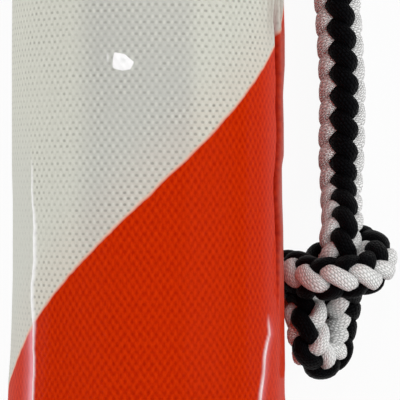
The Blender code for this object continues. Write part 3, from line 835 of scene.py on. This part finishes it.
def build_end_sewing(material):
    """The rows across both flat ends, each just off the tape or canvas that it sinks into."""
    for kind, end in product(("binding", "closing"), ("rope", "far")):
        for side, up in (("top", 1.0), ("bottom", -1.0)):
            node = f"{kind}_thread_{end}_{side}"
            low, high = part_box(node)
            surface = (low.z if up > 0 else high.z) - up * SEAT_GAP
            x = np.linspace(low.x, high.x, ROW_POINTS)
            level = np.full((ROW_POINTS, 2), ((low.y + high.y) / 2, surface))
            outward = np.tile((0.0, 0.0, up), (ROW_POINTS, 1))
            sewing_piece(node, np.column_stack((x, level)), outward, material)


def build_seam_sewing(material):
    """The two rows along the lap seam, following the cover from one closing row to the other."""
    for node, arc in zip(("seam_thread_lower", "seam_thread_upper"), SEAM_ROWS):
        low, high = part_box(node)
        y_places = np.linspace(low.y, high.y, 300)
        arcs = arc + np.array((-0.0006, -0.0003, 0.0, 0.0003, 0.0006))
        points = cover_surface(y_places, arcs)[0]
        around = points[:, 3] - points[:, 1]
        lengthwise = np.gradient(points[:, 2], axis=0)
        sewing_piece(node, points[:, 2], unit(np.cross(around, lengthwise)), material)


# Grommet


def rounded(profile, radius, steps=5):
    """A closed profile of (radius, height) corners, each replaced by a short curve."""
    corners = np.array(profile)
    points = []
    behind, beyond = np.roll(corners, 1, axis=0), np.roll(corners, -1, axis=0)
    for before, corner, after in zip(behind, corners, beyond):
        back, ahead = before - corner, after - corner
        start = corner + back * min(radius / np.linalg.norm(back), 0.45)
        end = corner + ahead * min(radius / np.linalg.norm(ahead), 0.45)
        for t in np.linspace(0.0, 1.0, steps):
            points.append((1 - t) ** 2 * start + 2 * t * (1 - t) * corner + t**2 * end)
    return points


def turned_piece(node, profile, material):
    """A ring about the grommet's axis, from a closed profile of (radius, height above the axis)."""
    turn = np.arange(TURNED_SEGMENTS) * 2 * math.pi / TURNED_SEGMENTS
    rings = []
    for radius, height in [*profile, profile[0]]:
        ring = np.column_stack((radius * np.cos(turn), GROMMET_Y + radius * np.sin(turn)))
        rings.append(np.column_stack((ring, np.full(TURNED_SEGMENTS, AXIS_HEIGHT + height))))
    parts = [(*tube_grid(np.array(rings)), 0)]
    mesh_piece(node, node + "_turned", "nickel", parts, material)


def build_grommet(material):
    """An eyelet with a crowned flange, and the washer that its lower edge is rolled over."""
    bore = GROMMET_BORE_DIAMETER / 2
    barrel = bore + GROMMET_METAL
    rim = (EYELET_HIGH.x - EYELET_LOW.x) / 2
    crown, foot = EYELET_HIGH.z - AXIS_HEIGHT, EYELET_LOW.z - AXIS_HEIGHT
    seat = TAB_HALF_THICKNESS + SEAT_GAP
    washer_face = seat + GROMMET_METAL
    rolled = barrel + 3 * GROMMET_METAL
    dome = []
    for share in np.linspace(0.0, 1.0, 9):
        lift = math.sin(math.pi * (0.12 + 0.76 * share)) ** 0.7
        radius = rim - 0.0003 - share * (rim - bore - 0.0007)
        dome.append((radius, seat + 0.0004 + (crown - seat - 0.0004) * lift))
    eyelet = [(barrel, seat), (rim, seat), *dome, (bore, crown - 0.0008)]
    eyelet += [(bore, foot + 0.0004), (bore + 0.0004, foot), (rolled - 0.0003, foot)]
    eyelet += [(rolled, foot + 0.0003), (rolled - 0.0002, -washer_face), (barrel, -washer_face)]
    washer = [(barrel + SEAT_GAP, -seat), (barrel + SEAT_GAP, -washer_face)]
    washer += [(rim - 0.0003, -washer_face), (rim, -washer_face + 0.0003), (rim, -seat)]
    for node, profile in (("grommet_eyelet", eyelet), ("grommet_washer", washer)):
        turned_piece(node, rounded(profile[::-1], 0.00014), material)


# Rope


def smooth_path(points, spacing):
    """Points spaced along a curve of continuous bend through the given points."""
    points = np.array(points, dtype=float)
    spans = np.sqrt(np.linalg.norm(np.diff(points, axis=0), axis=1))
    count = len(points)
    matrix = np.eye(count)
    target = np.zeros_like(points)
    for i in range(1, count - 1):
        before, after = spans[i - 1], spans[i]
        matrix[i, i - 1 : i + 2] = (before, 2.0 * (before + after), after)
        behind, ahead = points[i] - points[i - 1], points[i + 1] - points[i]
        target[i] = 6.0 * (ahead / after - behind / before)
    bends = np.linalg.solve(matrix, target)
    fine = []
    for i, span in enumerate(spans):
        ahead = np.linspace(0.0, span, 40, endpoint=False)[:, None]
        behind = span - ahead
        fine.append(
            (bends[i] * behind**3 + bends[i + 1] * ahead**3) / (6.0 * span)
            + (points[i] / span - bends[i] * span / 6.0) * behind
            + (points[i + 1] / span - bends[i + 1] * span / 6.0) * ahead
        )
    fine = np.vstack(fine + [points[-1:]])
    run = run_along(fine)
    wanted = np.linspace(0.0, run[-1], round(run[-1] / spacing) + 1)
    return along_path(fine, run, wanted)


def route(points, origin):
    """Points given in millimetres from origin, in metres."""
    return [tuple(Vector(origin) + Vector(point) * 0.001) for point in points]


def nearest_index(path, place):
    return int(np.argmin(np.linalg.norm(path - place, axis=1)))


def carried_frames(path):
    """Tangents along a path, and normals carried along it without twisting."""
    tangents = unit(np.gradient(path, axis=0))
    normal = np.cross(tangents[0], (0.0, 1.0, 0.0))
    normals = []
    for tangent in tangents:
        normal = normal - tangent * normal.dot(tangent)
        normal = normal / np.linalg.norm(normal)
        normals.append(normal)
    return tangents, np.array(normals)


def column_rolls(path, tangents, normals, facing):
    """The angle of the white columns about the path, so that the black ones face as asked."""
    keys = []
    for place, direction in facing:
        i = nearest_index(path, place)
        across = np.cross(tangents[i], normals[i])
        roll = math.atan2(np.dot(direction, across), np.dot(direction, normals[i])) - math.pi / 2
        keys.append((i, roll))
    keys.sort()
    rolls = [keys[0][1]]
    for i, roll in keys[1:]:
        rolls.append(roll - math.pi * round((roll - rolls[-1]) / math.pi))
    return np.interp(np.arange(len(path)), [key[0] for key in keys], rolls)


def strand_rings(path, tangents, normals, rolls, white, start, squeeze):
    """Rings round one strand of the plait. A white strand runs out along white columns and winds
    to the right, a black one runs out along black columns and winds to the left, and each dives
    through the rope from one side to the other under the columns of the other colour."""
    phase = 2 * math.pi * run_along(path) / PLAIT_PITCH + start
    out, aside = (np.cos(phase), np.sin(phase)) if white else (np.sin(phase), -np.cos(phase))
    out = STRAND_REACH * np.tanh(STRAND_DIVE * out) / math.tanh(STRAND_DIVE) * squeeze
    aside = STRAND_SWAY * aside * squeeze
    across = np.cross(tangents, normals)
    white_way = np.cos(rolls)[:, None] * normals + np.sin(rolls)[:, None] * across
    black_way = np.cos(rolls)[:, None] * across - np.sin(rolls)[:, None] * normals
    own, other = (white_way, black_way) if white else (black_way, white_way)
    offset = out[:, None] * own + aside[:, None] * other
    outward = unit(offset)
    middle = path + offset
    ahead = unit(np.gradient(middle, axis=0))
    side = unit(np.cross(ahead, outward))
    top = np.cross(side, ahead)
    turn = np.arange(STRAND_SIDES) * 2 * math.pi / STRAND_SIDES
    half_width = STRAND_WIDTH / 2 * (0.8 + 0.2 * np.abs(out) / STRAND_REACH) * squeeze
    half_thickness = STRAND_THICKNESS / 2 * squeeze
    across_share = np.sign(np.cos(turn)) * np.abs(np.cos(turn)) ** STRAND_SQUARENESS
    up_share = np.sign(np.sin(turn)) * np.abs(np.sin(turn)) ** STRAND_SQUARENESS
    wide = across_share[None, :, None] * half_width[:, None, None] * side[:, None, :]
    thick = up_share[None, :, None] * half_thickness[:, None, None] * top[:, None, :]
    rings = middle[:, None, :] + wide + thick
    caps = []
    for end, beyond in ((0, -1.0), (-1, 1.0)):
        for share, out_by in ((0.6, 0.0003), (0.05, 0.0004)):
            centre = middle[end] + ahead[end] * beyond * out_by
            caps.append(centre + (rings[end] - middle[end]) * share)
    return np.concatenate((caps[1:2], caps[0:1], rings, caps[2:3], caps[3:4]))


def build_rope(white, black, melted):
    """The plaited rope, two strands white (slot 0) and two black (slot 1): a free cord, with its
    knots and melted ends on it."""
    foot = (0.0, GROMMET_Y, 0.0)
    stopper_route = route(STOPPER_KNOT_ROUTE, (0.0, GROMMET_Y, GROMMET_TOP))
    run_route = route(RUN_ROUTE, foot)
    hand_route = route(HAND_KNOT_ROUTE, foot)
    spacing = PLAIT_PITCH / PLAIT_STEPS
    in_grommet = [(0.0, GROMMET_Y, AXIS_HEIGHT)]
    path = smooth_path(stopper_route[::-1] + in_grommet + run_route + hand_route, spacing)
    tangents, normals = carried_frames(path)
    facing = []
    routes = (stopper_route, run_route, hand_route)
    for places, keys in zip(routes, (STOPPER_FACING, RUN_FACING, HAND_FACING)):
        facing += [(places[number], direction) for number, direction in keys]
    rolls = column_rolls(path, tangents, normals, facing)
    index = np.arange(len(path))
    to_end = np.minimum(index, index[::-1]) * spacing
    squeeze = END_SQUEEZE + (1 - END_SQUEEZE) * smoothstep(to_end, 0.0, END_REACH)

    top = nearest_index(path, stopper_route[0])
    low = nearest_index(path, hand_route[0])
    beyond_run = np.maximum(top - index, index - low) * spacing
    squeeze *= 1 - (1 - KNOT_SQUEEZE) * smoothstep(beyond_run, 0.0, KNOT_SQUEEZE_REACH)
    strands = []
    for slot, start in product((0, 1), (0.0, math.pi)):
        rings = strand_rings(path, tangents, normals, rolls, slot == 0, start, squeeze)
        strands.append((rings, slot))
    for node, first, last in (
        ("stopper_knot", 0, top + 1),
        ("throw_rope", top, low + 1),
        ("hand_knot", low, len(path)),
    ):
        parts = []
        for rings, slot in strands:
            stretch = rings[first + 2 : last + 2]
            if first == 0:
                stretch = np.concatenate((rings[:2], stretch))
            if last == len(path):
                stretch = np.concatenate((stretch, rings[-2:]))
            parts.append((*tube_grid(stretch), slot))
        mesh_piece(node, node + "_plait", "rope", parts, white, black, body="rope")

    tips = [
        build_tip("stopper_knot_tip", path[0], -tangents[0], melted),
        build_tip("hand_knot_tip", path[-1], tangents[-1], melted),
    ]


def build_tip(node, end, direction, material):
    """A melted rope end: a lumpy plug that the strands run into."""
    radius = ROPE_DIAMETER / 2 * END_SQUEEZE
    side = unit(np.cross(direction, (0.3, 0.2, 0.9)))
    other = np.cross(direction, side)
    turn = np.arange(24) * 2 * math.pi / 24
    rings = []
    for height, share in TIP_PROFILE:
        lump = 1.0 + 0.06 * np.sin(3 * turn + height * 900.0)
        lump += 0.05 * np.sin(5 * turn - height * 1500.0)
        ring = np.cos(turn)[:, None] * side + np.sin(turn)[:, None] * other
        rings.append(end + direction * height + ring * (radius * share * lump)[:, None])
    parts = [(*tube_grid(np.array(rings)), 0)]
    return mesh_piece(node, node + "_melted", "melted", parts, material, body="rope")


# Studio


def area_light(name, place, size, power, shows_in_gloss):
    light = bpy.data.lights.new(name, "AREA")
    light.shape = "SQUARE"
    light.size = size
    light.energy = power
    lamp = bpy.data.objects.new(name, light)
    lamp.location = place
    aim = Vector((0.0, 0.0, AXIS_HEIGHT)) - Vector(place)
    lamp.rotation_euler = aim.to_track_quat("-Z", "Y").to_euler()
    lamp.visible_glossy = shows_in_gloss
    bpy.context.scene.collection.objects.link(lamp)


def build_studio():
    scene = bpy.context.scene
    world = bpy.data.worlds.new("studio")
    world.use_nodes = True
    sky = world.node_tree.nodes["Background"]
    sky.inputs["Color"].default_value = (1.0, 1.0, 1.0, 1.0)
    sky.inputs["Strength"].default_value = WORLD_STRENGTH
    scene.world = world

    area_light("left softbox", (-0.80, 0.0, 0.617), 0.8, 6.8, False)
    area_light("right softbox", (0.80, 0.0, 0.617), 0.8, 7.2, False)
    area_light("small lamp", (0.10, 0.62, 0.80), 0.14, 1.4, True)

    mesh = bpy.data.meshes.new("table")
    ways = ((-1, -1), (1, -1), (1, 1), (-1, 1))
    corners = [(x * TABLE_REACH, y * TABLE_REACH, 0.0) for x, y in ways]
    mesh.from_pydata(corners, [], [(0, 1, 2, 3)])
    table = bpy.data.objects.new("table", mesh)
    scene.collection.objects.link(table)
    mesh.materials.append(table_look())

    camera = bpy.data.cameras.new("camera")
    camera.lens = camera.sensor_width * CAMERA_DISTANCE / PICTURE_WIDTH
    camera.clip_end = 10.0
    eye = bpy.data.objects.new("camera", camera)
    eye.location = (*CAMERA_PLACE, AXIS_HEIGHT + CAMERA_DISTANCE)
    scene.collection.objects.link(eye)
    scene.camera = eye

    scene.view_settings.view_transform = "Standard"


def table_look():
    """A white table: lit as white paint, and shown brighter to the camera so that it is white."""
    look = Look("white table", 0.9, 0.1, Base_Color=(0.80, 0.80, 0.80, 1.0))
    glow = look.node("Emission")
    rays = look.node("LightPath").outputs
    seen = look.math("ADD", rays["Is Camera Ray"], rays["Is Glossy Ray"])
    share = look.times(look.math("ADD", seen, rays["Is Transmission Ray"]), TABLE_GLOW)
    blend = look.node("MixShader", {0: share, 1: look.shader.outputs[0], 2: glow.outputs[0]})
    look.connect(look.tree.nodes["Material Output"].inputs["Surface"], blend.outputs[0])
    return look.material


def build():
    build_studio()
    white = yarn_look("white yarn", (0.60, 0.60, 0.59), (0.97, 0.97, 0.96), 0.30, 0.1)
    black = yarn_look("black yarn", (0.0002, 0.0002, 0.0003), (0.0020, 0.0023, 0.0034), 0.08, 0.0)
    build_rope(white, black, melted_look())
    build_cover(canvas_look())
    tape, thread = tape_look(), thread_look()
    build_binding("binding_rope_end", 1.0, tape)
    build_binding("binding_far_end", -1.0, tape)
    build_end_sewing(thread)
    build_seam_sewing(thread)
    build_grommet(nickel_look())
    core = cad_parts["foam_core"].data
    core.materials.clear()
    core.materials.append(foam_look())


build()
